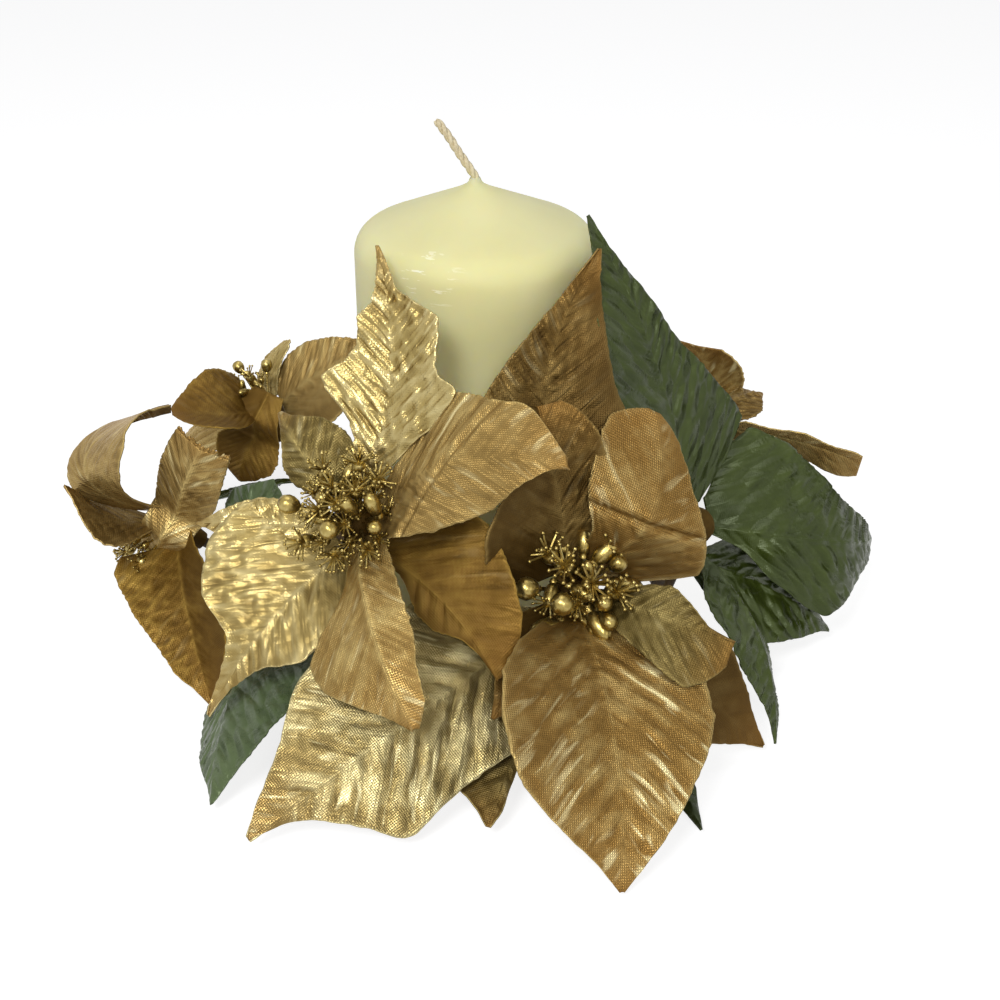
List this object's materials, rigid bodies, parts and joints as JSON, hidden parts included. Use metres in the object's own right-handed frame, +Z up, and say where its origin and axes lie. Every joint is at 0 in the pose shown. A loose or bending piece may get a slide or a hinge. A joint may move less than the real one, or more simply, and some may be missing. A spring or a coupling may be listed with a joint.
{
  "type": "candle ring with pillar candle",
  "caption": "Candle ring of gold cloth poinsettias and green leaves on a taped wire hoop, round an ivory pillar candle that lifts out.",
  "frame": {"origin": "on the table plane, on the common axis of the candle and the ring", "axes": "+Z up, -Y to the front with the two large flowers, +X to the right as seen from the front"},
  "size_m": [0.2745, 0.2992, 0.1697],
  "materials": {
    "ivory_wax": "satin",
    "wick_cotton": "matte",
    "tab_metal": "satin",
    "gold_cloth": "satin",
    "green_cloth": "matte",
    "gold_paint": "gloss",
    "green_plastic": "satin",
    "brown_tape": "matte"
  },
  "bodies": {
    "ring": {"ring_hoop": "brown_tape", "stem_bindings": "brown_tape", "stems": "brown_tape", "calyxes": "green_plastic", "front_left_bract_1": "gold_cloth", "front_left_bract_2": "gold_cloth", "front_left_bract_3": "gold_cloth", "front_left_bract_4": "gold_cloth", "front_left_bract_5": "gold_cloth", "front_left_bract_6": "gold_cloth", "front_left_bract_7": "gold_cloth", "front_left_pips": "gold_paint", "front_right_bract_1": "gold_cloth", "front_right_bract_2": "gold_cloth", "front_right_bract_3": "gold_cloth", "front_right_bract_4": "gold_cloth", "front_right_bract_5": "gold_cloth", "front_right_bract_6": "gold_cloth", "front_right_bract_7": "gold_cloth", "front_right_bract_8": "gold_cloth", "front_right_bract_9": "gold_cloth", "front_right_pips": "gold_paint", "left_bract_1": "gold_cloth", "left_bract_2": "gold_cloth", "left_bract_3": "gold_cloth", "left_bract_4": "gold_cloth", "left_bract_5": "gold_cloth", "left_pips": "gold_paint", "back_left_bract_1": "gold_cloth", "back_left_bract_2": "gold_cloth", "back_left_bract_3": "gold_cloth", "back_left_bract_4": "gold_cloth", "back_left_bract_5": "gold_cloth", "back_left_bract_6": "gold_cloth", "back_left_pips": "gold_paint", "back_bract_1": "gold_cloth", "back_bract_2": "gold_cloth", "back_bract_3": "gold_cloth", "back_bract_4": "gold_cloth", "back_bract_5": "gold_cloth", "back_bract_6": "gold_cloth", "back_pips": "gold_paint", "back_right_bract_1": "gold_cloth", "back_right_bract_2": "gold_cloth", "back_right_bract_3": "gold_cloth", "back_right_bract_4": "gold_cloth", "back_right_bract_5": "gold_cloth", "back_right_pips": "gold_paint", "right_spray_leaf_1": "green_cloth", "right_spray_leaf_2": "green_cloth", "right_spray_leaf_3": "green_cloth", "right_spray_leaf_4": "green_cloth", "left_spray_leaf_1": "green_cloth", "left_spray_leaf_2": "green_cloth", "under_leaves": "green_cloth"},
    "candle": {"candle_wax": "ivory_wax", "wick": "wick_cotton", "wick_tab": "tab_metal"}
  },
  "joints": [
    {"name": "candle_lift", "type": "slide", "parent": "ring", "child": "candle", "axis": [0, 0, 1], "range_m": [0, 0.16]}
  ]
}
